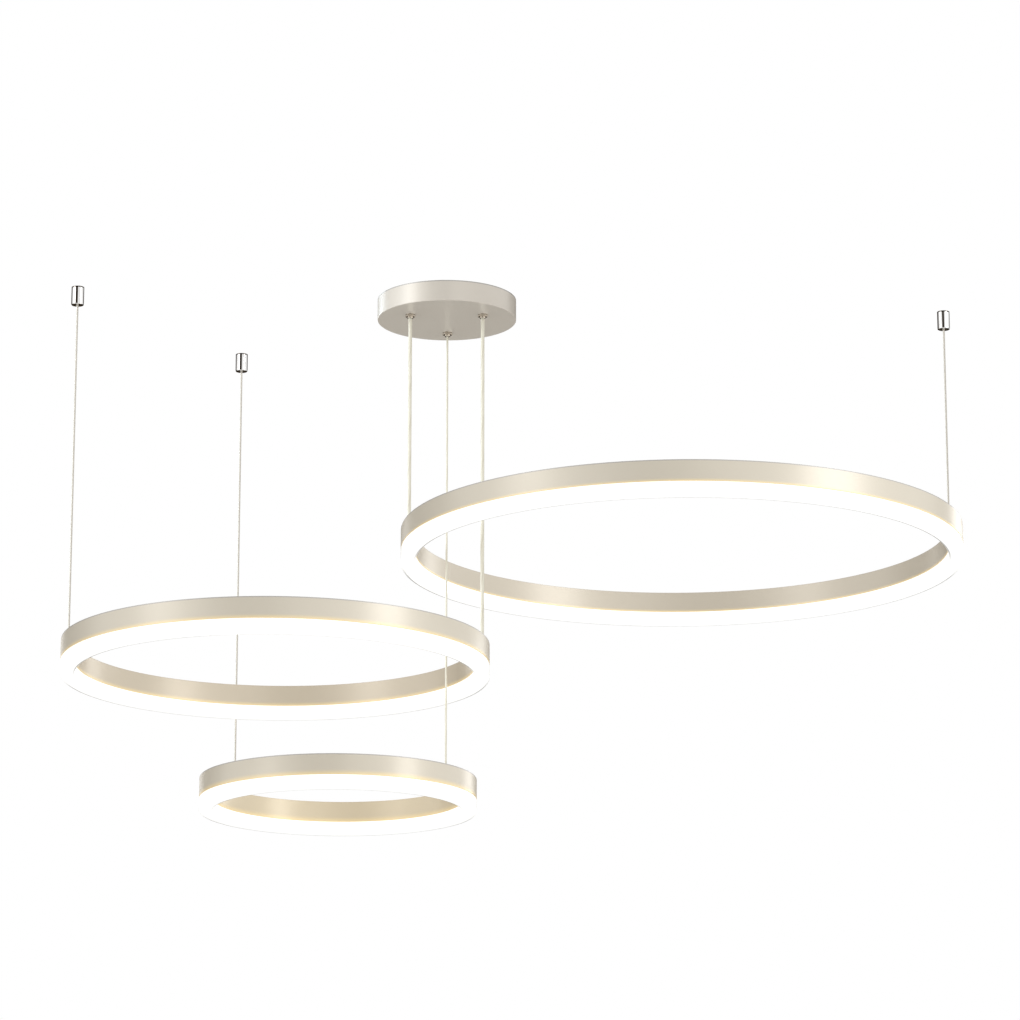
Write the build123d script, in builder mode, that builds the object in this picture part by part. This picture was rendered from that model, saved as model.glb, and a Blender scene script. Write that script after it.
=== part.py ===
from build123d import *
import os
from math import cos, pi, radians, sin, sqrt, tan

os.makedirs("parts", exist_ok=True)

# Millimetres. The ceiling is the plane z = 0, the origin is the middle of the ceiling plate, +Z is up.

# Canopy: a shallow spun cup with its open side on the ceiling
canopy_diameter = 200
canopy_height = 30
canopy_wall = 1.2
canopy_edge = 1.0
gland_circle = 120

# Ring section, the same for the three rings
ring_width = 20.5
metal_height = 30
metal_wall = 1.5
web_depth = 14
web_thickness = 1.2
metal_edge = 0.5
diffuser_height = 18
diffuser_wall = 3.0
diffuser_edge = 1.2
clip_height = 7
clip_clearance = 0.15

# A circle of radius 1 and a whole turn in degrees
unit_circle = 2
full_turn = 360

# Rings: outer diameter, drop of the ring's top below the ceiling, direction from the gland to the
# ceiling anchor in degrees from +X, place of the gland on its circle, and the power cable's diameter
rings = {
    "large": dict(diameter=800, drop=341, heading=6.3, gland_angle=210, cable=5.4),
    "medium": dict(diameter=600, drop=519, heading=183.4, gland_angle=330, cable=5.4),
    "small": dict(diameter=400, drop=671, heading=145.7, gland_angle=90, cable=3.0),
}
steel_wire_diameter = 3.0

# How far the cables swing at the ceiling and how far the rings tilt on their cable ends, in degrees
swing_room = 12
tilt_room = 9
running_gap = 0.3
thread_gap = 0.1

# Cable glands in the canopy
gland_sleeve = 9
gland_flange = 13.5
gland_flange_thickness = 0.8
gland_sleeve_below = 2.6
gland_sleeve_above = 8
gland_wall = 1.0
nut_flats = 12.4
nut_height = 2.6
nut_floor = 1.0
tip_diameter = 8.4
tip_length = 2.4
pivot_inside_tip = 1.5
lock_nut_flats = 14.5
lock_nut_height = 3

# Ceiling anchors
barrel_diameter = 18
barrel_height = 26.5
barrel_wall = 1.5
barrel_floor = 3
barrel_edge = 1.0
anchor_base_thickness = 5
anchor_screw_hole = 4.6
anchor_screw_head = 9.0
grip_diameter = 9
grip_height = 12
grip_edge = 1
tail_above_grip = 2

# Cable ends and the bushings in the top of the ring
ball_diameter = 7.6
ball_flat = 2.4
ball_depth = 7
bushing_diameter = 13
bushing_wall = 0.9
bushing_proud = 0.4
web_access_hole = 14

# LED strip and the connector that feeds it
strip_width = 10
strip_thickness = 0.5
led_pitch = 33
led_length = 4
led_width = 3
led_height = 1
connector_length = 24
connector_width = 12
connector_height = 5
connector_gap = 1
strip_wire = 1.4
strip_wire_spacing = 3

# Ceiling plate and the two side screws that hold the canopy on it
plate_width = 24
plate_thickness = 1.5
plate_ear = 20
plate_side_gap = 0.3
ceiling_slot_spacing = 76
ceiling_slot_length = 14
ceiling_slot_width = 5.2
house_wire_hole = 14
side_screw = 3.5
side_screw_head = 6.2
side_screw_cross = 4.2
side_screw_cross_width = 0.8
side_screw_cross_depth = 0.6
side_screw_length = 8
side_screw_depth = 12

# LED driver on its foam pads
driver_length = 124
driver_depth = 34
driver_height = 20
driver_wall = 1.6
driver_to_rear_gland = 11.5
driver_lid_lip = 1.5
board_gap = 1.0
board_thickness = 1.6
pad_thickness = 1.0
pad_length = 30
pad_width = 20
coil_size = 18
capacitor_diameter = 10
component_height = 11

# Terminal block, mains leads and the earth lead
terminal_length = 32
terminal_depth = 18
terminal_height = 13
terminal_pitch = 10
terminal_bore = 3.4
terminal_screw = 3.0
terminal_screw_length = 3
terminal_offset = -40
mains_lead = 2.4
lead_height = 16.8
lead_bend = 2
earth_screw_offset = 20
earth_screw = 4
earth_head = 7
earth_head_height = 2.4
earth_tag = 8
earth_tag_thickness = 0.8
earth_bend = 5
earth_crimp = 0.6

canopy_radius = canopy_diameter / 2
canopy_floor = canopy_wall - canopy_height
ring_height = metal_height + diffuser_height


def on_circle(diameter, degrees):
    angle = radians(degrees)
    return diameter / 2 * cos(angle), diameter / 2 * sin(angle)


def finish(part, name):
    part.part.label = name
    export_step(part.part, f"parts/{name}.step")


# Where each ring's gland, centre and anchor stand
for ring in rings.values():
    ring["radius"] = ring["diameter"] / 2
    ring["mean"] = ring["radius"] - ring_width / 2
    away = on_circle(unit_circle, ring["heading"])
    gland = on_circle(gland_circle, ring["gland_angle"])
    ring["gland"] = gland
    ring["centre"] = tuple(g + ring["mean"] * a for g, a in zip(gland, away))
    ring["anchor"] = tuple(g + 2 * ring["mean"] * a for g, a in zip(gland, away))
    ring["top"] = -ring["drop"]

# Heights that several pieces share
flange_bottom = -canopy_height - gland_flange_thickness
nut_top = flange_bottom - running_gap
nut_bottom = nut_top - nut_height
tip_bottom = nut_bottom - tip_length
cable_pivot = tip_bottom + pivot_inside_tip
sleeve_bottom = -canopy_height - gland_sleeve_below
sleeve_top = canopy_floor + gland_sleeve_above
wire_pivot = pivot_inside_tip - barrel_height
grip_bottom = barrel_floor - barrel_height

# Canopy shell, with three gland holes and two countersunk side holes
with BuildPart() as canopy_shell:
    with BuildSketch(Plane.XY.offset(-canopy_height)):
        Circle(canopy_radius)
    extrude(amount=canopy_height)
    fillet(canopy_shell.edges().group_by(Axis.Z)[0], canopy_edge)
    with BuildSketch(Plane.XY.offset(canopy_floor)):
        Circle(canopy_radius - canopy_wall)
    extrude(amount=-canopy_floor, mode=Mode.SUBTRACT)
    with BuildSketch(Plane.XY.offset(-canopy_height)):
        for ring in rings.values():
            with Locations(ring["gland"]):
                Circle(gland_sleeve / 2 + thread_gap)
    extrude(amount=canopy_wall, mode=Mode.SUBTRACT)
    for side in (-1, 1):
        wall_middle = side * (canopy_radius - canopy_wall / 2)
        with Locations(Location((wall_middle, 0, -side_screw_depth), (0, 90 * side, 0))):
            Cone(
                side_screw / 2 + thread_gap,
                side_screw_head / 2 + thread_gap,
                canopy_wall + 2 * thread_gap,
                mode=Mode.SUBTRACT,
            )
finish(canopy_shell, "canopy_shell")

# Ceiling plate: a flat bar with two slots, a hole for the house wires and two bent ears
ear_outside = sqrt((canopy_radius - canopy_wall - plate_side_gap) ** 2 - (plate_width / 2) ** 2)
with BuildPart() as ceiling_plate:
    with BuildSketch(Plane.XY.offset(-plate_thickness)):
        Rectangle(2 * ear_outside, plate_width)
        Circle(house_wire_hole / 2, mode=Mode.SUBTRACT)
        with Locations((earth_screw_offset, 0)):
            Circle(earth_screw / 2 + thread_gap, mode=Mode.SUBTRACT)
        with GridLocations(ceiling_slot_spacing, 0, 2, 1):
            SlotOverall(ceiling_slot_length, ceiling_slot_width, mode=Mode.SUBTRACT)
    extrude(amount=plate_thickness)
    with BuildSketch(Plane.XY.offset(-plate_ear)):
        with GridLocations(2 * ear_outside - plate_thickness, 0, 2, 1):
            Rectangle(plate_thickness, plate_width)
    extrude(amount=plate_ear - plate_thickness)
    with Locations(Location((0, 0, -side_screw_depth), (0, 90, 0))):
        Cylinder(side_screw / 2 + thread_gap, 2 * canopy_radius, mode=Mode.SUBTRACT)
    corners = ceiling_plate.edges().filter_by(Axis.X).group_by(Axis.Z)[0]
    fillet(corners, plate_thickness / 3)
finish(ceiling_plate, "ceiling_plate")

# Countersunk side screws, flush with the canopy's wall
with BuildPart() as canopy_screws:
    for side in (-1, 1):
        out = Plane(origin=(side * canopy_radius, 0, -side_screw_depth), z_dir=(side, 0, 0))
        with BuildSketch(out):
            Circle(side_screw_head / 2)
        with BuildSketch(out.offset(-canopy_wall)):
            Circle(side_screw / 2)
        loft()
        with BuildSketch(out.offset(-canopy_wall)):
            Circle(side_screw / 2)
        extrude(amount=-(side_screw_length - canopy_wall))
        with BuildSketch(out):
            Rectangle(side_screw_cross_width, side_screw_cross)
            Rectangle(side_screw_cross, side_screw_cross_width)
        extrude(amount=-side_screw_cross_depth, mode=Mode.SUBTRACT)
finish(canopy_screws, "canopy_screws")

# LED driver: tray, lid, circuit board with its parts, and the foam pads under the tray
rear_gland = max(ring["gland"][1] for ring in rings.values())
driver_back = rear_gland - driver_to_rear_gland
driver_middle = driver_back - driver_depth / 2
driver_bottom = canopy_floor + pad_thickness
driver_top = driver_bottom + driver_height
lead_level = canopy_floor + lead_height
with BuildPart() as driver_tray:
    with BuildSketch(Plane.XY.offset(driver_bottom)):
        with Locations((0, driver_middle)):
            RectangleRounded(driver_length, driver_depth, 2 * driver_wall)
    extrude(amount=driver_height - driver_wall)
    with BuildSketch(Plane.XY.offset(driver_bottom + driver_wall)):
        with Locations((0, driver_middle)):
            RectangleRounded(
                driver_length - 2 * driver_wall, driver_depth - 2 * driver_wall, driver_wall
            )
    extrude(amount=driver_height, mode=Mode.SUBTRACT)
finish(driver_tray, "driver_tray")

with BuildPart() as driver_lid:
    with BuildSketch(Plane.XY.offset(driver_top - driver_wall)):
        with Locations((0, driver_middle)):
            RectangleRounded(driver_length, driver_depth, 2 * driver_wall)
    extrude(amount=driver_wall)
    fillet(driver_lid.edges().group_by(Axis.Z)[-1], driver_wall / 3)
    lip_length = driver_length - 2 * driver_wall - 2 * thread_gap
    lip_depth = driver_depth - 2 * driver_wall - 2 * thread_gap
    with BuildSketch(Plane.XY.offset(driver_top - driver_wall - driver_lid_lip)):
        with Locations((0, driver_middle)):
            RectangleRounded(lip_length, lip_depth, driver_wall - thread_gap)
            Rectangle(lip_length - 2 * driver_wall, lip_depth - 2 * driver_wall, mode=Mode.SUBTRACT)
    extrude(amount=driver_lid_lip)
finish(driver_lid, "driver_lid")

board_length = driver_length - 2 * driver_wall - 2 * board_gap
board_depth = driver_depth - 2 * driver_wall - 2 * board_gap
board_bottom = driver_bottom + driver_wall
board_top = board_bottom + board_thickness
with BuildPart() as driver_board:
    with BuildSketch(Plane.XY.offset(board_bottom)):
        with Locations((0, driver_middle)):
            Rectangle(board_length, board_depth)
    extrude(amount=board_thickness)
    with BuildSketch(Plane.XY.offset(board_top)):
        with Locations((0, driver_middle)):
            Rectangle(coil_size, coil_size)
        with Locations((-board_length / 4, driver_middle), (board_length / 4, driver_middle)):
            Circle(capacitor_diameter / 2)
    extrude(amount=component_height)
finish(driver_board, "driver_board")

with BuildPart() as driver_pads:
    with BuildSketch(Plane.XY.offset(canopy_floor)):
        with Locations((0, driver_middle)):
            with GridLocations(driver_length / 2, 0, 2, 1):
                Rectangle(pad_length, pad_width)
    extrude(amount=pad_thickness)
finish(driver_pads, "driver_pads")

# Terminal block on the canopy's floor, in front of the ceiling plate
terminal_top = canopy_floor + terminal_height
terminal_middle = canopy_floor + terminal_height / 2
terminal_rear = terminal_offset + terminal_depth / 2
with BuildPart() as terminal_block:
    with BuildSketch(Plane.XY.offset(canopy_floor)):
        with Locations((0, terminal_offset)):
            RectangleRounded(terminal_length, terminal_depth, 1.5)
    extrude(amount=terminal_height)
    with Locations(Location((0, terminal_offset, terminal_middle), (90, 0, 0))):
        with GridLocations(terminal_pitch, 0, 3, 1):
            Cylinder(terminal_bore / 2, terminal_depth, mode=Mode.SUBTRACT)
    with BuildSketch(Plane.XY.offset(terminal_top)):
        with Locations((0, terminal_offset)):
            with GridLocations(terminal_pitch, terminal_depth / 2, 3, 2):
                Circle(terminal_screw / 2 + thread_gap)
    extrude(amount=-(terminal_height / 2), mode=Mode.SUBTRACT)
finish(terminal_block, "terminal_block")

with BuildPart() as terminal_screws:
    with BuildSketch(Plane.XY.offset(terminal_middle + terminal_bore / 2)):
        with Locations((0, terminal_offset)):
            with GridLocations(terminal_pitch, terminal_depth / 2, 3, 2):
                Circle(terminal_screw / 2)
    extrude(amount=terminal_screw_length)
    with BuildSketch(Plane.XY.offset(terminal_middle + terminal_bore / 2 + terminal_screw_length)):
        with Locations((0, terminal_offset)):
            with GridLocations(terminal_pitch, terminal_depth / 2, 3, 2):
                Rectangle(0.6, 2 * terminal_screw)
    extrude(amount=-0.8, mode=Mode.SUBTRACT)
finish(terminal_screws, "terminal_screws")

driver_front = driver_back - driver_depth
with BuildPart() as mains_leads:
    with BuildSketch(Plane.XZ.offset(-(terminal_rear - terminal_depth / 4))):
        with Locations((-terminal_pitch, terminal_middle), (0, terminal_middle)):
            Circle(mains_lead / 2)
    extrude(amount=-(driver_front - terminal_rear + terminal_depth / 4))
finish(mains_leads, "mains_leads")

# Earth lead from the terminal block to a ring tag under the ceiling plate, and its screw
tag_top = -plate_thickness
tag_bottom = tag_top - earth_tag_thickness
tongue_end = -earth_head / 2 - mains_lead
crimp_level = tag_bottom - mains_lead / 2 + earth_crimp
with BuildPart() as earth_lead:
    with BuildLine() as earth_route:
        FilletPolyline(
            (terminal_pitch, terminal_rear - terminal_depth / 4, terminal_middle),
            (terminal_pitch, terminal_rear + 2 * earth_bend, terminal_middle),
            (earth_screw_offset, tongue_end - 2 * earth_bend, crimp_level),
            (earth_screw_offset, tongue_end + mains_lead / 2, crimp_level),
            radius=earth_bend,
        )
    with BuildSketch(Plane(origin=earth_route.line @ 0, z_dir=earth_route.line % 0)):
        Circle(mains_lead / 2)
    sweep()
    with BuildSketch(Plane.XY.offset(tag_bottom)):
        with Locations((earth_screw_offset, 0)):
            Circle(earth_tag / 2)
        with Locations((earth_screw_offset, tongue_end / 2)):
            Rectangle(mains_lead, -tongue_end)
        with Locations((earth_screw_offset, 0)):
            Circle(earth_screw / 2 + thread_gap, mode=Mode.SUBTRACT)
    extrude(amount=earth_tag_thickness)
finish(earth_lead, "earth_lead")

with BuildPart() as earth_fixing:
    with BuildSketch(Plane.XY.offset(tag_bottom - earth_head_height)):
        with Locations((earth_screw_offset, 0)):
            Circle(earth_head / 2)
    extrude(amount=earth_head_height)
    fillet(earth_fixing.edges().group_by(Axis.Z)[0], earth_head_height / 3)
    with BuildSketch(Plane.XY.offset(tag_bottom)):
        with Locations((earth_screw_offset, 0)):
            Circle(earth_screw / 2)
    extrude(amount=-tag_bottom)
finish(earth_fixing, "earth_screw")

# Lock nuts inside the canopy and rubber seals inside the gland sleeves, one for each cable
sleeve_bore = gland_sleeve / 2 - gland_wall
with BuildPart() as gland_lock_nuts:
    with BuildSketch(Plane.XY.offset(canopy_floor)):
        for ring in rings.values():
            with Locations(ring["gland"]):
                RegularPolygon(lock_nut_flats / 2, 6, major_radius=False)
                Circle(gland_sleeve / 2 + thread_gap, mode=Mode.SUBTRACT)
    extrude(amount=lock_nut_height)
finish(gland_lock_nuts, "gland_lock_nuts")

with BuildPart() as gland_seals:
    for ring in rings.values():
        with BuildSketch(Plane.XY.offset(sleeve_bottom)):
            with Locations(ring["gland"]):
                Circle(sleeve_bore)
                Circle(ring["cable"] / 2, mode=Mode.SUBTRACT)
        extrude(amount=sleeve_top - sleeve_bottom)
finish(gland_seals, "gland_seals")

# Glands, the nuts that clamp the cables, and the cable tails from the glands to the driver
for name, ring in rings.items():
    gland_x, gland_y = ring["gland"]
    cable_radius = ring["cable"] / 2
    with BuildPart() as gland_body:
        with BuildSketch(Plane.XY.offset(flange_bottom)):
            with Locations(ring["gland"]):
                Circle(gland_flange / 2)
                Circle(sleeve_bore, mode=Mode.SUBTRACT)
        extrude(amount=gland_flange_thickness)
        with BuildSketch(Plane.XY.offset(sleeve_bottom)):
            with Locations(ring["gland"]):
                Circle(gland_sleeve / 2)
                Circle(sleeve_bore, mode=Mode.SUBTRACT)
        extrude(amount=sleeve_top - sleeve_bottom)
    finish(gland_body, f"{name}_gland_body")

    mouth = cable_radius + running_gap + pivot_inside_tip * tan(radians(swing_room))
    with BuildPart() as gland_nut:
        with BuildSketch(Plane.XY.offset(nut_bottom)):
            with Locations(ring["gland"]):
                RegularPolygon(nut_flats / 2, 6, major_radius=False)
        extrude(amount=nut_height)
        with BuildSketch(Plane.XY.offset(tip_bottom)):
            with Locations(ring["gland"]):
                Circle(tip_diameter / 2)
        extrude(amount=tip_length)
        fillet(gland_nut.edges().group_by(Axis.Z)[0], 0.5)
        with BuildSketch(Plane.XY.offset(nut_bottom + nut_floor)):
            with Locations(ring["gland"]):
                Circle(gland_sleeve / 2 + thread_gap)
        extrude(amount=nut_height, mode=Mode.SUBTRACT)
        with BuildSketch(Plane.XY.offset(tip_bottom)):
            with Locations(ring["gland"]):
                Circle(cable_radius + running_gap)
        extrude(amount=tip_length + nut_height, mode=Mode.SUBTRACT)
        with Locations((gland_x, gland_y, tip_bottom + pivot_inside_tip / 2)):
            Cone(mouth, cable_radius + running_gap, pivot_inside_tip, mode=Mode.SUBTRACT)
    finish(gland_nut, f"{name}_gland_nut")

    towards_driver = 1 if gland_y < driver_middle else -1
    driver_wall_y = driver_front if gland_y < driver_middle else driver_back
    tail_start = cable_pivot + cable_radius + running_gap
    with BuildPart() as cable_tail:
        with BuildLine() as tail_route:
            FilletPolyline(
                (gland_x, gland_y, tail_start),
                (gland_x, gland_y, lead_level),
                (gland_x, driver_wall_y, lead_level),
                radius=lead_bend * ring["cable"],
            )
        with BuildSketch(Plane(origin=tail_route.line @ 0, z_dir=tail_route.line % 0)):
            Circle(cable_radius)
        sweep()
    finish(cable_tail, f"{name}_cable_tail")

# Ceiling anchors: a base that a screw holds to the ceiling, and a barrel that screws over it
wire_radius = steel_wire_diameter / 2
barrel_bore = barrel_diameter / 2 - barrel_wall
for name, ring in rings.items():
    anchor_x, anchor_y = ring["anchor"]
    with BuildPart() as anchor_base:
        with BuildSketch(Plane.XY.offset(-anchor_base_thickness)):
            with Locations(ring["anchor"]):
                Circle(barrel_bore - thread_gap)
                Circle(anchor_screw_hole / 2, mode=Mode.SUBTRACT)
        extrude(amount=anchor_base_thickness)
        sink = (anchor_screw_head - anchor_screw_hole) / 2
        with Locations((anchor_x, anchor_y, sink / 2 - anchor_base_thickness)):
            Cone(anchor_screw_head / 2, anchor_screw_hole / 2, sink, mode=Mode.SUBTRACT)
    finish(anchor_base, f"{name}_anchor_base")

    wire_mouth = wire_radius + running_gap + pivot_inside_tip * tan(radians(swing_room))
    with BuildPart() as anchor_barrel:
        with BuildSketch(Plane.XY.offset(-barrel_height)):
            with Locations(ring["anchor"]):
                Circle(barrel_diameter / 2)
        extrude(amount=barrel_height)
        fillet(anchor_barrel.edges().group_by(Axis.Z)[0], barrel_edge)
        with BuildSketch(Plane.XY.offset(barrel_floor - barrel_height)):
            with Locations(ring["anchor"]):
                Circle(barrel_bore)
        extrude(amount=barrel_height, mode=Mode.SUBTRACT)
        with BuildSketch(Plane.XY.offset(-barrel_height)):
            with Locations(ring["anchor"]):
                Circle(wire_radius + running_gap)
        extrude(amount=barrel_floor, mode=Mode.SUBTRACT)
        with Locations((anchor_x, anchor_y, pivot_inside_tip / 2 - barrel_height)):
            Cone(wire_mouth, wire_radius + running_gap, pivot_inside_tip, mode=Mode.SUBTRACT)
    finish(anchor_barrel, f"{name}_anchor_barrel")

# Wire grips standing on the barrels' floors, and the ends of the steel wires that they hold
with BuildPart() as wire_grips:
    with BuildSketch(Plane.XY.offset(grip_bottom)):
        for ring in rings.values():
            with Locations(ring["anchor"]):
                Circle(grip_diameter / 2)
                Circle(wire_radius, mode=Mode.SUBTRACT)
    extrude(amount=grip_height)
    grip_rims = wire_grips.edges().group_by(Axis.Z)[-1]
    chamfer(grip_rims.filter_by(lambda rim: rim.radius > wire_radius), grip_edge)
finish(wire_grips, "wire_grips")

with BuildPart() as wire_tails:
    tail_start = wire_pivot + wire_radius + running_gap
    with BuildSketch(Plane.XY.offset(tail_start)):
        for ring in rings.values():
            with Locations(ring["anchor"]):
                Circle(wire_radius)
    extrude(amount=grip_bottom + grip_height + tail_above_grip - tail_start)
finish(wire_tails, "wire_tails")

# Rings with their cables
ball_radius = ball_diameter / 2
for name, ring in rings.items():
    centre_x, centre_y = ring["centre"]
    top = ring["top"]
    outside = ring["radius"]
    middle = ring["mean"]
    axis = Axis((centre_x, centre_y, 0), (0, 0, 1))
    section = Plane(origin=(centre_x, centre_y, top), x_dir=(1, 0, 0), z_dir=(0, -1, 0))
    ends = {ring["gland"]: ring["cable"] / 2, ring["anchor"]: wire_radius}
    ball_centre = top - ball_depth
    tilt_spread = (ball_depth + bushing_proud) * tan(radians(tilt_room))
    bore_top = {place: radius + running_gap + tilt_spread for place, radius in ends.items()}

    # Power cable and steel wire, straight from the ceiling to the cable ends; the upper end is rounded
    for piece, (place, radius), pivot in zip(
        ("power_cable", "steel_wire"), ends.items(), (cable_pivot, wire_pivot)
    ):
        wire_end = ball_centre + ball_flat
        with BuildPart() as wire:
            with BuildSketch(Plane.XY.offset(wire_end)):
                with Locations(place):
                    Circle(radius)
            extrude(amount=pivot - wire_end)
            with Locations((place[0], place[1], pivot)):
                Sphere(radius)
        finish(wire, f"{name}_{piece}")

    # Ball ends crimped on the cable and the wire, each with a flat where the wire meets it
    with BuildPart() as cable_ends:
        for place in ends:
            with Locations((place[0], place[1], ball_centre)):
                Sphere(ball_radius)
        split(bisect_by=Plane.XY.offset(ball_centre + ball_flat), keep=Keep.BOTTOM)
    finish(cable_ends, f"{name}_cable_ends")

    # Bushings: the ring hangs by their shoulders, and each has a cup for the ball
    with BuildPart() as bushings:
        for place, radius in ends.items():
            neck = bore_top[place] + bushing_wall
            with BuildSketch(Plane.XY.offset(ball_centre)):
                with Locations(place):
                    Circle(bushing_diameter / 2)
            extrude(amount=ball_depth - metal_wall)
            with BuildSketch(Plane.XY.offset(top - metal_wall)):
                with Locations(place):
                    Circle(neck)
            extrude(amount=metal_wall + bushing_proud)
            with Locations((place[0], place[1], ball_centre)):
                Sphere(ball_radius + thread_gap, mode=Mode.SUBTRACT)
            bore = (ball_depth + bushing_proud) / 2
            with Locations((place[0], place[1], ball_centre + bore)):
                Cone(radius + running_gap, bore_top[place], 2 * bore, mode=Mode.SUBTRACT)
    finish(bushings, f"{name}_bushings")

    # Aluminium channel, with a web between the cable chamber and the open side
    with BuildPart() as channel:
        with BuildSketch(section) as channel_profile:
            with Locations((middle, -metal_height / 2)):
                Rectangle(ring_width, metal_height)
            fillet(channel_profile.vertices().group_by(Axis.Z)[-1], metal_edge)
            inner_width = ring_width - 2 * metal_wall
            with Locations((middle, -(metal_wall + web_depth) / 2)):
                Rectangle(inner_width, web_depth - metal_wall, mode=Mode.SUBTRACT)
            slot_top = web_depth + web_thickness
            with Locations((middle, -(slot_top + metal_height) / 2)):
                Rectangle(inner_width, metal_height - slot_top, mode=Mode.SUBTRACT)
        revolve(axis=axis)
        for place in ends:
            with BuildSketch(Plane.XY.offset(top - metal_wall)):
                with Locations(place):
                    Circle(bore_top[place] + bushing_wall + thread_gap)
            extrude(amount=metal_wall, mode=Mode.SUBTRACT)
            with BuildSketch(Plane.XY.offset(top - slot_top)):
                with Locations(place):
                    Circle(web_access_hole / 2)
            extrude(amount=web_thickness, mode=Mode.SUBTRACT)
    finish(channel, f"{name}_channel")

    # Opal diffuser: a trough flush with the metal, with two lips that clip inside the channel
    with BuildPart() as diffuser:
        with BuildSketch(section) as diffuser_profile:
            with Locations((middle, -metal_height - diffuser_height / 2)):
                Rectangle(ring_width, diffuser_height)
            fillet(diffuser_profile.vertices().group_by(Axis.Z)[0], diffuser_edge)
            lip_inset = metal_wall + clip_clearance
            with Locations((middle, -metal_height + clip_height / 2)):
                Rectangle(ring_width - 2 * lip_inset, clip_height)
            inside_height = diffuser_height - diffuser_wall + clip_height
            with Locations((middle, clip_height - metal_height - inside_height / 2)):
                Rectangle(ring_width - 2 * diffuser_wall, inside_height, mode=Mode.SUBTRACT)
        revolve(axis=axis)
    finish(diffuser, f"{name}_diffuser")

    # LED strip under the web, open where the connector feeds it
    entry = ring["heading"] + 180
    half_gap = (connector_length / 2 + connector_gap) / middle * 180 / pi
    strip_arc = full_turn - 2 * half_gap
    start = on_circle(unit_circle, entry + half_gap)
    strip_top = top - slot_top
    strip_section = Plane(
        origin=(centre_x, centre_y, strip_top), x_dir=(*start, 0), z_dir=(start[1], -start[0], 0)
    )
    led_count = round(middle * radians(strip_arc) / led_pitch)
    led_step = strip_arc / led_count
    with BuildPart() as led_strip:
        with BuildSketch(strip_section):
            with Locations((middle, -strip_thickness / 2)):
                Rectangle(strip_width, strip_thickness)
        revolve(axis=axis, revolution_arc=strip_arc)
        first_led = entry + half_gap + led_step / 2
        with Locations((centre_x, centre_y, strip_top - strip_thickness - led_height / 2)):
            with PolarLocations(middle, led_count, first_led, strip_arc):
                Box(led_length, led_width, led_height)
    finish(led_strip, f"{name}_led_strip")

    # Connector under the web below the power cable, with the two wires that reach up to it
    across = Plane(
        origin=(*ring["gland"], strip_top), x_dir=(*on_circle(unit_circle, entry), 0), z_dir=(0, 0, 1)
    )
    with BuildPart() as connector:
        with BuildSketch(across.offset(-connector_height)):
            Rectangle(connector_width, connector_length)
        extrude(amount=connector_height)
        fillet(connector.edges().group_by(Axis.Z)[0], 0.8)
        with BuildSketch(across):
            with GridLocations(0, strip_wire_spacing, 1, 2):
                Circle(strip_wire / 2)
        wire_reach = slot_top - ball_depth - sqrt(ball_radius**2 - strip_wire_spacing**2 / 4)
        extrude(amount=wire_reach - running_gap)
    finish(connector, f"{name}_strip_connector")
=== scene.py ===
"""Three lit rings hanging at three heights from a round ceiling canopy."""
from math import cos, pi, radians, sin

import bpy
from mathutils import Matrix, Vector


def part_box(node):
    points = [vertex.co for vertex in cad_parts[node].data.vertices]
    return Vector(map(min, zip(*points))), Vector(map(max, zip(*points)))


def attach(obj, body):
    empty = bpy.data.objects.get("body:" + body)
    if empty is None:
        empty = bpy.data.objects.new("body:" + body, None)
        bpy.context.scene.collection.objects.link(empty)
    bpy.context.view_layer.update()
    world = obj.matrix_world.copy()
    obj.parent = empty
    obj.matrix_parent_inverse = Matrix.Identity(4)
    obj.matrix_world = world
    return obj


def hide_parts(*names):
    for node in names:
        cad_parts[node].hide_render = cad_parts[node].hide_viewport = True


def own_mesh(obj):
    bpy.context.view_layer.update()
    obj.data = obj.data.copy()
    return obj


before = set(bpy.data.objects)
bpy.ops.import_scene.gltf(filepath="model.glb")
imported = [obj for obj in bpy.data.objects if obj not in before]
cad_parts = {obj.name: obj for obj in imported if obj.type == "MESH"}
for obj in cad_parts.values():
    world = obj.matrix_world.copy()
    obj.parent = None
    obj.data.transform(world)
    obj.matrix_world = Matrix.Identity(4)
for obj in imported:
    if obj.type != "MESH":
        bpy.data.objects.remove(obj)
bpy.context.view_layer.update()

MM = 0.001
RINGS = ("large", "medium", "small")

# Section of a ring, in millimetres, as the solids have it
RING_WIDTH = 20.5
METAL_HEIGHT = 30

# Cables and wires, in millimetres: heights of their ceiling pivots, the ball that each ends in, below the
# ring's top, their thickness, and how far each ring is raised
CABLE_PIVOT = -34.6
WIRE_PIVOT = -25.0
BALL_DEPTH = 7
BALL_FLAT = 2.4
CABLE_DIAMETER = {"large": 5.4, "medium": 5.4, "small": 3.0}
WIRE_DIAMETER = 3.0

# Champagne paint, its darker upper rim of painted shade, its colour inside each ring with painted shade and
# painted warm light from the diffuser, and the diffuser's warm light painted near the bottom of the metal, as
# linear red, green and blue, with the height in millimetres that this light reaches
CHAMPAGNE = (0.62, 0.57, 0.475)
# Painted shade: the colour of the darker upper rim of the rings
CHAMPAGNE_PALE = (0.66, 0.61, 0.515)
CHAMPAGNE_RIM_SHADE = (0.44, 0.425, 0.405)
CANOPY_GREIGE = (0.64, 0.592, 0.522)
CANOPY_PALE = (0.67, 0.622, 0.552)
# Painted shade: the colour of the darker upper rim of the canopy
CANOPY_RIM_SHADE = (0.40, 0.385, 0.36)
GLOW_YELLOW = (0.86, 0.68, 0.37)
# Painted shade and painted warm light from the diffuser on the inner walls: darker in the large ring, warmer
# and brighter in the small one
CHAMPAGNE_INSIDE_LIT_AND_SHADED = {
    "large": (0.56, 0.505, 0.415),
    "medium": (0.60, 0.525, 0.41),
    "small": (0.68, 0.58, 0.41),
}
GLOW_HEIGHT = {"large": 5, "medium": 7, "small": 9}

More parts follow.
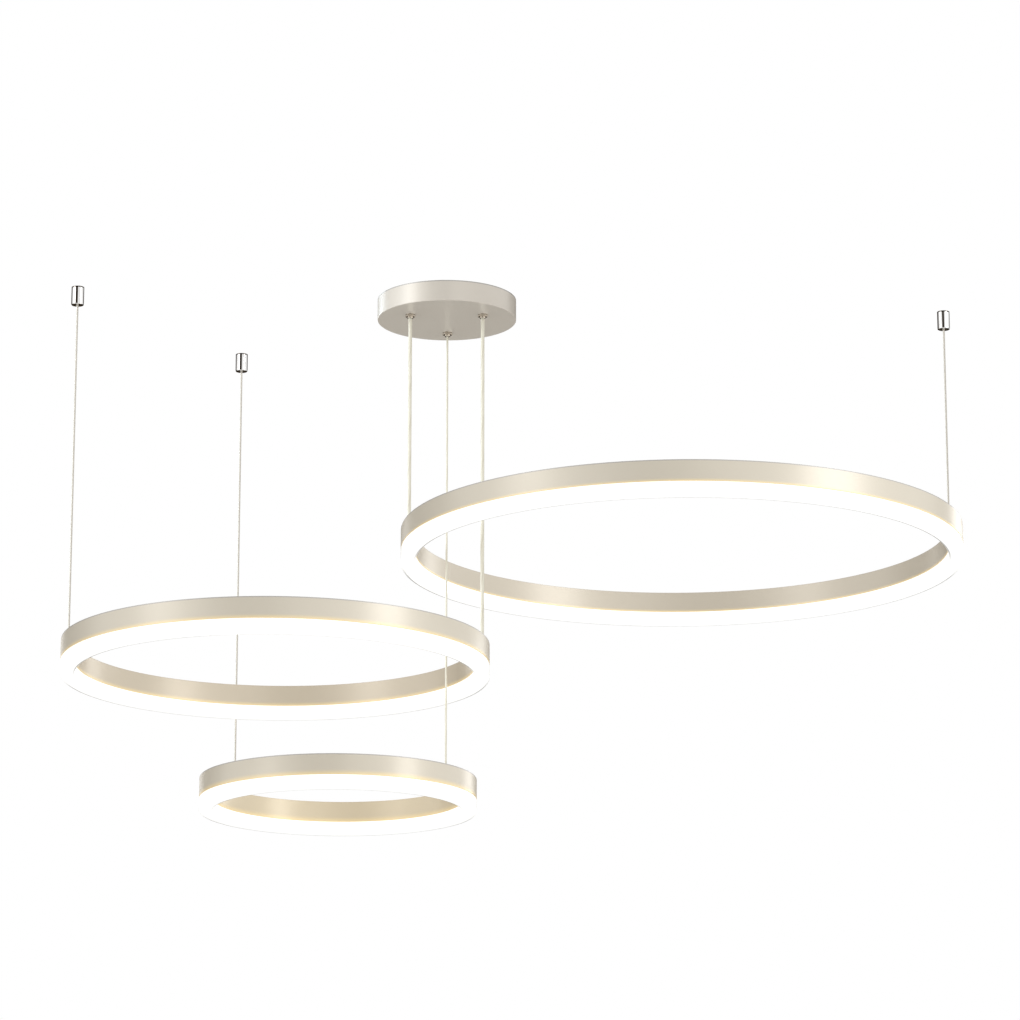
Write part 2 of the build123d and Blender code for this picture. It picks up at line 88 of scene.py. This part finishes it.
# Camera, in metres, millimetres and degrees
CAMERA_PLACE = (0.0912, -5.72546, -1.77892)
CAMERA_LENS = 146.26
CAMERA_RISE = 14.37

FLOOR_LEVEL = -2.4
FLOOR_REACH = 40.0


class Number:
    """A value that varies over a surface. Arithmetic on it adds Math nodes to its finish."""

    def __init__(self, finish, socket):
        self.finish = finish
        self.socket = socket

    def math(self, operation, *others, clamp=False):
        settings = {"operation": operation, "use_clamp": clamp}
        return self.finish.node("Math", settings, dict(enumerate((self, *others))))

    def __add__(self, other):
        return self.math("ADD", other)

    __radd__ = __add__

    def __sub__(self, other):
        return self.math("SUBTRACT", other)

    def __rsub__(self, other):
        return self * -1 + other

    def __mul__(self, other):
        return self.math("MULTIPLY", other)

    __rmul__ = __mul__

    def __pow__(self, other):
        return self.math("POWER", other)

    def __gt__(self, other):
        return self.math("GREATER_THAN", other)

    def __lt__(self, other):
        return self.math("LESS_THAN", other)

    def __abs__(self):
        return self.math("ABSOLUTE")

    def clamped(self):
        return self.math("ADD", 0.0, clamp=True)

    def ramp(self, start, end):
        """0 where this number is at start, 1 where it is at end, smooth between them."""
        values = {"Value": self, "From Min": start, "From Max": end}
        return self.finish.node("MapRange", {"interpolation_type": "SMOOTHSTEP"}, values)


class Finish:
    """A material, or the world, built from nodes."""

    def __init__(self, name, owner=None):
        self.owner = owner or bpy.data.materials.new(name)
        self.owner.use_nodes = True
        self.tree = self.owner.node_tree
        self.tree.nodes.clear()

    def node(self, kind, settings=None, inputs=None, output=0):
        made = self.tree.nodes.new("ShaderNode" + kind)
        for name, value in (settings or {}).items():
            setattr(made, name, value)
        for name, value in (inputs or {}).items():
            socket = made.inputs[name]
            if isinstance(value, Number):
                self.tree.links.new(value.socket, socket)
            elif isinstance(value, tuple) and len(value) == 3 and len(socket.default_value) == 4:
                socket.default_value = (*value, 1.0)
            else:
                socket.default_value = value
        return Number(self, made.outputs[output])

    def place(self):
        """The point's place in the frame of the part, in metres."""
        return self.node("TexCoord", output="Object")

    def axis(self, vector, name):
        return self.node("SeparateXYZ", inputs={0: vector}, output=name)

    def from_axis(self, ring):
        """How far outside the middle of the ring's section the point is, in metres; inside is negative."""
        low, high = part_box(f"{ring}_diffuser")
        centre = (low + high) / 2
        flat = self.node("VectorMath", {"operation": "MULTIPLY"}, {0: self.place(), 1: (1, 1, 0)})
        middle = {0: flat, 1: (centre.x, centre.y, 0)}
        away = self.node("VectorMath", {"operation": "DISTANCE"}, middle, output="Value")
        return away - (high.x - low.x - RING_WIDTH * MM) / 2

    def noise(self, size, detail=2.0, stretch=(1, 1, 1)):
        """Noise from 0 to 1 with grains of the given size in millimetres."""
        scaled = {0: self.place(), 1: tuple(s / (size * MM) for s in stretch)}
        place = self.node("VectorMath", {"operation": "MULTIPLY"}, scaled)
        values = {"Vector": place, "Scale": 1.0, "Detail": detail, "Roughness": 0.5}
        return self.node("TexNoise", {"noise_dimensions": "3D"}, values)

    def blend(self, share, first, second):
        """The first colour where share is 0 and the second where it is 1."""
        return self.node("Mix", {"data_type": "RGBA"}, {0: share, 6: first, 7: second}, output=2)

    def bump(self, height, depth):
        """A relief whose full height is depth millimetres."""
        return self.node("Bump", inputs={"Height": height, "Distance": depth * MM, "Strength": 1.0})

    def surface(self, **values):
        """Ends the material in one Principled shader, whose sockets are named with underscores."""
        inputs = {name.replace("_", " "): value for name, value in values.items()}
        shader = self.node("BsdfPrincipled", inputs=inputs)
        self.node_out("OutputMaterial", shader)
        return self.owner

    def node_out(self, kind, shader):
        out = self.tree.nodes.new("ShaderNode" + kind)
        self.tree.links.new(shader.socket, out.inputs["Surface"])


def dress(material, *nodes):
    """Gives the CAD nodes a material."""
    for name in nodes:
        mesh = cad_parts[name].data
        mesh.materials.clear()
        mesh.materials.append(material)


def each_ring(ending):
    """The names of the three rings' nodes with this ending."""
    return [f"{ring}_{ending}" for ring in RINGS]


# ---------------------------------------------------------------- finishes

def satin_paint(name, top, base, pale, edge, ring=None):
    """Satin paint with fine orange peel and a darker upper rim of painted shade; top is the height of the rim
    in metres.

    Inside the ring, a ring's paint has painted shade and painted warm light from the diffuser: darker in the
    large ring, warmer and brighter in the small one. Where the paint meets the diffuser, the diffuser's
    yellow light is painted on it, with a faint painted glow.
    """
    paint = Finish(name)
    place = paint.place()
    height = paint.axis(place, "Z")
    flakes = paint.noise(0.35, 1.0)
    clouds = paint.noise(60, 2.0)
    colour = paint.blend(clouds * 0.7 + flakes * 0.3, base, pale)
    # Painted shade: the upper rim is darkened towards the edge colour
    shaded_rim = height.ramp(top - 2.0 * MM, top - 1.1 * MM)
    colour = paint.blend(shaded_rim * 0.9, colour, edge)
    light = {}
    if ring:
        bottom = top - METAL_HEIGHT * MM
        # Painted light and shade: the diffuser's yellow light near the bottom of the metal, also given off by
        # the paint as a faint glow, and the inner walls' painted shade and painted warm light
        glow = height.ramp(bottom + GLOW_HEIGHT[ring] * MM, bottom) ** 1.5
        inside = paint.from_axis(ring) < -1.0 * MM
        colour = paint.blend(inside * 0.85, colour, CHAMPAGNE_INSIDE_LIT_AND_SHADED[ring])
        colour = paint.blend(glow * 0.8, colour, GLOW_YELLOW)
        light = {"Emission_Color": paint.blend(glow, (0, 0, 0), GLOW_YELLOW), "Emission_Strength": 0.08}
    peel = paint.noise(1.1, 1.0) * 0.8 + flakes * 0.2
    return paint.surface(
        Base_Color=colour,
        Metallic=0.12,
        Roughness=0.34 + 0.06 * paint.noise(4, 2.0),
        Coat_Weight=0.3,
        Coat_Roughness=0.24,
        Normal=paint.bump(peel, 0.012),
        **light,
    )


def opal_acrylic(ring):
    """Lit opal acrylic: white and even, with thin lines of painted shade along two edges of its bottom.

    One is on the outer edge at the back of the ring, the other on the inner edge at the front. Both fade out
    towards the ring's sides.
    """
    low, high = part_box(f"{ring}_diffuser")
    opal = Finish(f"{ring}_opal_acrylic")
    place = opal.place()
    outward = opal.from_axis(ring)
    toward_back = opal.axis(place, "Y") - (low.y + high.y) / 2
    soft, fade = 0.5 * MM, 90 * MM
    outer_start = (RING_WIDTH / 2 - 2.8) * MM
    inner_start = (RING_WIDTH / 2 - 2.3) * MM
    # Painted shade: two thin lines, dimmer in colour and in the light that the acrylic gives off
    outer_shade_line = outward.ramp(outer_start - soft, outer_start) * toward_back.ramp(0, fade)
    inner_shade_line = outward.ramp(soft - inner_start, -inner_start) * toward_back.ramp(0, -fade)
    bottom = opal.axis(place, "Z").ramp(low.z + 0.9 * MM, low.z + 0.2 * MM)
    painted_shade_lines = (outer_shade_line + inner_shade_line) * bottom
    milk = opal.noise(9, 3.0)
    return opal.surface(
        Base_Color=opal.blend(painted_shade_lines, (0.60, 0.60, 0.59), (0.34, 0.34, 0.335)),
        Roughness=0.32 + 0.1 * milk,
        Coat_Weight=0.5,
        Coat_Roughness=0.12,
        Emission_Color=opal.blend(painted_shade_lines, (1.0, 1.0, 0.985), (0.38, 0.38, 0.375)),
        Emission_Strength=0.85,
        Normal=opal.bump(opal.noise(2.5, 2.0), 0.01),
    )


def cable_sheath(name, lobes):
    """Cream sheath, in which the twisted cores show as paler stripes, with painted shade in the grooves
    between them.
    """
    sheath = Finish(name)
    along = sheath.node("UVMap", {"uv_map": "lay"})
    turn = sheath.axis(along, "X")
    core = abs((turn * (lobes * pi)).math("COSINE"))
    shade = sheath.noise(6, 2.0)
    # Painted shade in the grooves between the cores; the noise adds random tone
    groove_shade = 1 - core.ramp(0.0, 0.6)
    colour = sheath.blend(groove_shade * 0.4 + shade * 0.15, (0.84, 0.81, 0.69), (0.56, 0.52, 0.40))
    return sheath.surface(
        Base_Color=colour,
        Roughness=0.28 + 0.1 * shade,
        Coat_Weight=0.3,
        Coat_Roughness=0.12,
        Normal=sheath.bump(sheath.noise(0.8, 2.0), 0.01),
    )


def steel_wire_strands(name, lobes):
    """Stranded steel under a clear coat, with painted shade in the grooves between the strands."""
    wire = Finish(name)
    along = wire.node("UVMap", {"uv_map": "lay"})
    turn = wire.axis(along, "X")
    strand = abs((turn * (lobes * pi)).math("COSINE"))
    # Painted shade in the grooves between the strands
    groove_shade = 1 - strand.ramp(0.0, 0.6)
    colour = wire.blend(groove_shade, (0.70, 0.66, 0.59), (0.36, 0.325, 0.275))
    return wire.surface(
        Base_Color=colour,
        Metallic=0.35,
        Roughness=0.34 + 0.12 * wire.noise(0.5, 2.0),
        Coat_Weight=0.6,
        Coat_Roughness=0.1,
        Normal=wire.bump(wire.noise(0.3, 2.0), 0.01),
    )


def polished_chrome(name, colour, second, roughness, shaded_rim=None):
    """Bright chrome with faint turning marks and hairline scratches, and a painted shadow above the height of
    the rim.
    """
    chrome = Finish(name)
    marks = chrome.noise(0.5, 2.0, stretch=(0.05, 0.05, 1))
    smears = chrome.noise(5, 3.0)
    tint = chrome.blend(smears, colour, second)
    if shaded_rim is not None:
        height = chrome.axis(chrome.place(), "Z")
        # Painted shadow: a dark band above the rim height, where the barrel meets the ceiling
        tint = chrome.blend(height.ramp(shaded_rim - 0.2 * MM, shaded_rim + 0.2 * MM), tint, (0.11, 0.095, 0.08))
    return chrome.surface(
        Base_Color=tint,
        Metallic=1.0,
        Roughness=roughness + 0.05 * smears,
        Normal=chrome.bump(marks, 0.002),
    )


def metal(name, colour, second, roughness, grain, stretch=(1, 1, 1)):
    """Plated, turned or pressed metal, with a blotchy colour and a fine grain."""
    finish = Finish(name)
    blotches = finish.noise(grain * 6, 3.0)
    fine = finish.noise(grain, 2.0, stretch=stretch)
    return finish.surface(
        Base_Color=finish.blend(blotches, colour, second),
        Metallic=0.95,
        Roughness=roughness + 0.14 * fine,
        Normal=finish.bump(fine, 0.015),
    )


def moulded(name, colour, second, roughness, grain, relief=0.02):
    """Moulded plastic, rubber or foam with a fine texture."""
    finish = Finish(name)
    clouds = finish.noise(grain * 12, 3.0)
    fine = finish.noise(grain, 2.0)
    return finish.surface(
        Base_Color=finish.blend(clouds, colour, second),
        Roughness=roughness + 0.1 * fine,
        Normal=finish.bump(fine, relief),
    )


def circuit_board():
    """Green board with paler copper tracks, and dark parts standing on it."""
    board = Finish("circuit_board")
    low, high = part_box("driver_board")
    height = board.axis(board.place(), "Z")
    cells = {"Vector": board.place(), "Scale": 1 / (3.2 * MM)}
    track = board.node("TexVoronoi", {"feature": "DISTANCE_TO_EDGE"}, cells)
    copper = track < 0.08
    green = board.blend(copper, (0.02, 0.13, 0.055), (0.06, 0.24, 0.09))
    parts = height > low.z + 1.7 * MM
    windings = board.noise(0.7, 1.0, stretch=(0.1, 0.1, 1))
    dark = board.blend(windings, (0.03, 0.03, 0.035), (0.10, 0.075, 0.05))
    return board.surface(
        Base_Color=board.blend(parts, green, dark),
        Roughness=0.35 + 0.2 * windings,
        Normal=board.bump(copper * 0.5 + windings * 0.5, 0.05),
    )


def led_board(ring):
    """White strip whose chips, which stand below it, have yellow phosphor."""
    low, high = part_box(f"{ring}_led_strip")
    strip = Finish(f"{ring}_led_board")
    height = strip.axis(strip.place(), "Z")
    chip = height < high.z - 0.6 * MM
    white = strip.blend(strip.noise(2, 2.0), (0.84, 0.84, 0.82), (0.90, 0.90, 0.88))
    return strip.surface(
        Base_Color=strip.blend(chip, white, (0.90, 0.68, 0.16)),
        Roughness=0.45 + 0.1 * strip.noise(1, 1.0),
        Normal=strip.bump(strip.noise(0.6, 1.0), 0.01),
    )


def insulated_lead(name, colour, second, stripe):
    """Insulation in two colours: side by side, or in slanting stripes."""
    lead = Finish(name)
    place = lead.place()
    across = lead.axis(place, "X")
    if stripe:
        slant = across + lead.axis(place, "Y") + lead.axis(place, "Z")
        share = (slant * (2 * pi / (7 * MM))).math("SINE") > 0.35
    else:
        share = across > stripe_split()
    return lead.surface(
        Base_Color=lead.blend(share, colour, second),
        Roughness=0.3 + 0.1 * lead.noise(1, 2.0),
        Normal=lead.bump(lead.noise(0.6, 1.0), 0.01),
    )


def stripe_split():
    """Halfway between the two mains leads, across the canopy."""
    low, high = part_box("mains_leads")
    return (low.x + high.x) / 2


# ---------------------------------------------------------------- cables

def spline_points(points, count):
    """Points along the NURBS spline that has the given control points, evenly spread on a straight route."""
    curve = bpy.data.curves.new("route", "CURVE")
    curve.dimensions = "3D"
    spline = curve.splines.new("NURBS")
    spline.points.add(len(points) - 1)
    for knot, point in zip(spline.points, points):
        knot.co = (*point, 1.0)
    spline.order_u = 3
    spline.use_endpoint_u = True
    spline.resolution_u = count
    holder = bpy.data.objects.new("route", curve)
    bpy.context.scene.collection.objects.link(holder)
    bpy.context.view_layer.update()
    line = bpy.data.meshes.new_from_object(holder)
    found = [vertex.co.copy() for vertex in line.vertices]
    bpy.data.objects.remove(holder)
    bpy.data.curves.remove(curve)
    bpy.data.meshes.remove(line)
    return found


def twisted_tube(name, route, radius, lobes, relief, pitch, steps_per_turn, sides):
    """A tube along the route, whose lobes are laid round it as rounded ridges, and the line that it follows.

    Sizes are in metres, and the relief is a share of the radius. The map "lay" holds how far round and how
    far along the tube each corner is.
    """
    length = (Vector(route[-1]) - Vector(route[0])).length
    count = max(8, round(length / pitch * steps_per_turn))
    line = spline_points(route, count)
    vertices, distances = [], []
    side = Vector((1, 0, 0))
    travelled = 0.0
    for number, point in enumerate(line):
        after = line[min(number + 1, len(line) - 1)]
        before = line[max(number - 1, 0)]
        ahead = (after - before).normalized()
        side = (side - ahead * side.dot(ahead)).normalized()
        other = ahead.cross(side)
        if number:
            travelled += (point - before).length
        twist = 2 * pi * travelled / pitch
        distances.append(travelled)
        for corner in range(sides):
            around = 2 * pi * corner / sides
            ridge = abs(cos(lobes * around / 2))
            reach = radius * (1 - relief * (1 - ridge))
            angle = around + twist
            vertices.append(point + side * (reach * cos(angle)) + other * (reach * sin(angle)))
    faces, coordinates = [], []
    for number in range(len(line) - 1):
        for corner in range(sides):
            next_corner = (corner + 1) % sides
            ring, following = number * sides, (number + 1) * sides
            faces.append((ring + corner, ring + next_corner, following + next_corner, following + corner))
            left, right = corner / sides, (corner + 1) / sides
            near, far = distances[number], distances[number + 1]
            coordinates += [(left, near), (right, near), (right, far), (left, far)]
    for start, at in ((0, distances[0]), ((len(line) - 1) * sides, distances[-1])):
        loop = [start + corner for corner in range(sides)]
        faces.append(tuple(reversed(loop)) if start == 0 else tuple(loop))
        coordinates += [(0.5, at)] * sides
    mesh = bpy.data.meshes.new(name)
    mesh.from_pydata([tuple(v) for v in vertices], [], faces)
    lay = mesh.uv_layers.new(name="lay")
    for loop, place in zip(lay.data, coordinates):
        loop.uv = place
    mesh.polygons.foreach_set("use_smooth", [len(p.vertices) == 4 for p in mesh.polygons])
    mesh.update()
    piece = bpy.data.objects.new(name, mesh)
    bpy.context.scene.collection.objects.link(piece)
    return piece, line


def hang_line(ring, name, node, pivot, diameter, finish, slot_name, **lay):
    """One cable or wire of a ring, straight from its ceiling pivot to the ball in the ring."""
    low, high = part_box(node)
    x, y = (low.x + high.x) / 2, (low.y + high.y) / 2
    ring_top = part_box(f"{ring}_channel")[1].z
    end = ring_top - (BALL_DEPTH - BALL_FLAT) * MM
    top = pivot * MM
    route = [(x, y, top), (x, y, (top + end) / 2), (x, y, end)]
    line, path = twisted_tube(name, route, diameter / 2 * MM, **lay)
    line.data.materials.append(finish)
    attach(line, f"{ring}_suspension")
    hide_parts(node)
    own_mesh(line)
    return line


def hang_all():
    """The power cable and the steel wire of each ring."""
    sheath = cable_sheath("cable_sheath_twisted", 2)
    strands = steel_wire_strands("steel_wire_strands", 6)
    sheath_lay = dict(lobes=2, relief=0.04, pitch=110 * MM, steps_per_turn=20, sides=24)
    strand_lay = dict(lobes=6, relief=0.12, pitch=16 * MM, steps_per_turn=12, sides=30)
    lines = []
    for ring in RINGS:
        lines.append(hang_line(
            ring, f"{ring}_power_cable_sheath", f"{ring}_power_cable", CABLE_PIVOT, CABLE_DIAMETER[ring],
            sheath, "cable_sheath", **sheath_lay,
        ))
        lines.append(hang_line(
            ring, f"{ring}_steel_wire_strands", f"{ring}_steel_wire", WIRE_PIVOT, WIRE_DIAMETER,
            strands, "wire_steel", **strand_lay,
        ))
    return lines


# ---------------------------------------------------------------- finishes on the solids

def dress_ceiling_parts():
    canopy_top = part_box("canopy_shell")[1].z
    paint = satin_paint("canopy_champagne", canopy_top, CANOPY_GREIGE, CANOPY_PALE, CANOPY_RIM_SHADE)
    dress(paint, "canopy_shell")
    barrel_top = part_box("large_anchor_barrel")[1].z
    # The painted shadow band covers the top 1.8 mm of each barrel
    chrome = polished_chrome(
        "polished_chrome", (0.80, 0.79, 0.775), (0.87, 0.865, 0.855), 0.05, barrel_top - 1.8 * MM
    )
    dress(chrome, *each_ring("anchor_barrel"))
    warm_chrome = polished_chrome("warm_chrome", (0.68, 0.62, 0.54), (0.76, 0.70, 0.62), 0.14)
    dress(warm_chrome, *each_ring("gland_body"), *each_ring("gland_nut"))
    zinc = metal("zinc_plate", (0.56, 0.57, 0.58), (0.68, 0.68, 0.66), 0.30, 0.8)
    dress(zinc, "canopy_screws", "ceiling_plate", "terminal_screws", "earth_screw", *each_ring("anchor_base"))
    turned_brass = metal("turned_brass", (0.66, 0.47, 0.20), (0.78, 0.60, 0.30), 0.22, 0.5, (0.2, 0.2, 1))
    dress(turned_brass, "gland_lock_nuts", "wire_grips", *each_ring("cable_ends"))
    casing = moulded("driver_casing", (0.80, 0.80, 0.785), (0.86, 0.86, 0.845), 0.5, 0.7)
    dress(casing, "driver_tray", "driver_lid")
    dress(moulded("terminal_plastic", (0.74, 0.73, 0.69), (0.82, 0.81, 0.77), 0.42, 0.5), "terminal_block")
    dress(circuit_board(), "driver_board")
    dress(moulded("pad_foam", (0.05, 0.05, 0.055), (0.12, 0.12, 0.125), 0.9, 0.5, 0.15), "driver_pads")
    dress(moulded("seal_rubber", (0.03, 0.03, 0.03), (0.06, 0.06, 0.06), 0.6, 0.4), "gland_seals")
    dress(insulated_lead("mains_leads", (0.20, 0.09, 0.04), (0.05, 0.16, 0.42), False), "mains_leads")
    dress(insulated_lead("earth_lead", (0.10, 0.38, 0.08), (0.80, 0.68, 0.08), True), "earth_lead")
    dress(metal("wire_tail_steel", (0.50, 0.47, 0.42), (0.62, 0.59, 0.53), 0.32, 0.4), "wire_tails")
    tail = moulded("tail_sheath", (0.80, 0.77, 0.64), (0.88, 0.85, 0.73), 0.3, 0.6, 0.01)
    dress(tail, *each_ring("cable_tail"))


def dress_rings():
    nylon = moulded("natural_nylon", (0.72, 0.70, 0.62), (0.82, 0.80, 0.72), 0.4, 0.5)
    dress(nylon, *each_ring("bushings"), *each_ring("strip_connector"))
    for ring in RINGS:
        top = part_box(f"{ring}_channel")[1].z
        paint = satin_paint(f"{ring}_champagne", top, CHAMPAGNE, CHAMPAGNE_PALE, CHAMPAGNE_RIM_SHADE, ring)
        dress(paint, f"{ring}_channel")
        dress(opal_acrylic(ring), f"{ring}_diffuser")
        dress(led_board(ring), f"{ring}_led_strip")


# ---------------------------------------------------------------- studio

def soft_lamp(name, place, aim, size, watts, colour=(1.0, 0.985, 0.96), only=(), without=()):
    """A round lamp. It lights everything, or the pieces in only, or all but the pieces in without."""
    lamp = bpy.data.lights.new(name, "AREA")
    lamp.shape = "DISK"
    lamp.size = size
    lamp.energy = watts
    lamp.color = colour
    holder = bpy.data.objects.new(name, lamp)
    holder.location = place
    holder.rotation_euler = (Vector(aim) - Vector(place)).to_track_quat("-Z", "Y").to_euler()
    bpy.context.scene.collection.objects.link(holder)
    if only or without:
        lit = bpy.data.collections.new(f"{name}_pieces")
        for piece in (*only, *without):
            lit.objects.link(piece)
        holder.light_linking.receiver_collection = lit
        if without:
            for entry in lit.collection_objects:
                entry.light_linking.link_state = "EXCLUDE"


def studio_world():
    """White behind the object, plain even light on it, and white and dark walls for its metal to reflect.

    The walls' edges are angles in degrees about the upright axis, from the front; the right is positive.
    """
    world = bpy.data.worlds.new("studio")
    sky = Finish("studio", world)
    ambient = (0.90, 0.895, 0.89)
    white_wall, dark_wall = (1.0, 1.0, 1.0), (0.04, 0.03, 0.02)
    toward = sky.node("TexCoord", output="Generated")
    right = sky.axis(toward, "X")
    front = sky.axis(toward, "Y") * -1
    turn = right.math("ARCTAN2", front) * (180 / pi)
    left_wall = turn.ramp(-114, -104) * turn.ramp(-28, -36)
    right_wall = turn.ramp(4, 12) * turn.ramp(130, 120)
    steep = abs(sky.axis(toward, "Z")).ramp(0.5, 0.8)
    bright = (left_wall + right_wall).clamped().math("MAXIMUM", steep)
    walls = sky.blend(bright, dark_wall, white_wall)
    glossy = sky.node("LightPath", output="Is Glossy Ray")
    camera = sky.node("LightPath", output="Is Camera Ray")
    through = sky.node("LightPath", output="Is Transmission Ray")
    colour = sky.blend(glossy, ambient, walls)
    colour = sky.blend((camera + through).clamped(), colour, (1.0, 1.0, 1.0))
    shader = sky.node("Background", inputs={"Color": colour, "Strength": 1.0})
    sky.node_out("OutputWorld", shader)
    world.cycles.sampling_method = "NONE"
    bpy.context.scene.world = world


def pale_floor():
    """A plain floor, seen from above only."""
    mesh = bpy.data.meshes.new("floor")
    signs = ((-1, -1), (1, -1), (1, 1), (-1, 1))
    corners = [(x * FLOOR_REACH, y * FLOOR_REACH, FLOOR_LEVEL) for x, y in signs]
    mesh.from_pydata(corners, [], [(0, 1, 2, 3)])
    mesh.update()
    floor = bpy.data.objects.new("floor", mesh)
    bpy.context.scene.collection.objects.link(floor)
    floor.visible_glossy = False
    finish = Finish("pale_floor")
    tint = finish.blend(finish.noise(900, 2.0), (0.88, 0.88, 0.87), (0.90, 0.90, 0.89))
    matt = finish.node("BsdfDiffuse", inputs={"Color": tint})
    clear = finish.node("BsdfTransparent")
    below = finish.node("NewGeometry", output="Backfacing")
    shader = finish.node("MixShader", inputs={0: below, 1: matt, 2: clear})
    finish.node_out("OutputMaterial", shader)
    mesh.materials.append(finish.owner)


def lamps(lines):
    """The canopy and the cables and wires are lit from the left, and the rings mostly from the right."""
    upper = [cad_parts["canopy_shell"], *lines]
    soft_lamp("right_softbox", (3.4, -1.9, 0.5), (0.1, 0, -0.5), 1.6, 38, without=upper)
    soft_lamp("left_softbox", (-2.9, -1.7, 0.6), (-0.1, 0, -0.4), 1.4, 16)
    soft_lamp("canopy_softbox", (-3.2, -1.2, 0.0), (0, 0, -0.2), 2.4, 31, (0.80, 0.91, 1.0), only=upper)
    soft_lamp("canopy_back_softbox", (-2.4, 2.4, 0.0), (0, 0, -0.2), 2.4, 44, (0.80, 0.91, 1.0), only=upper)
    soft_lamp("back_right_softbox", (2.6, 3.2, 0.2), (0.1, 0, -0.5), 1.4, 15, without=upper)
    soft_lamp("back_left_softbox", (-1.8, 3.8, 0.2), (-0.1, 0, -0.4), 1.2, 5)


def place_camera():
    camera = bpy.data.cameras.new("camera")
    camera.lens = CAMERA_LENS
    camera.sensor_width = 36
    camera.clip_end = 60
    holder = bpy.data.objects.new("camera", camera)
    holder.location = CAMERA_PLACE
    holder.rotation_euler = (radians(90 + CAMERA_RISE), 0, 0)
    bpy.context.scene.collection.objects.link(holder)
    bpy.context.scene.camera = holder


lines = hang_all()
dress_ceiling_parts()
dress_rings()
studio_world()
pale_floor()
lamps(lines)
place_camera()
bpy.context.scene.view_settings.view_transform = "Standard"
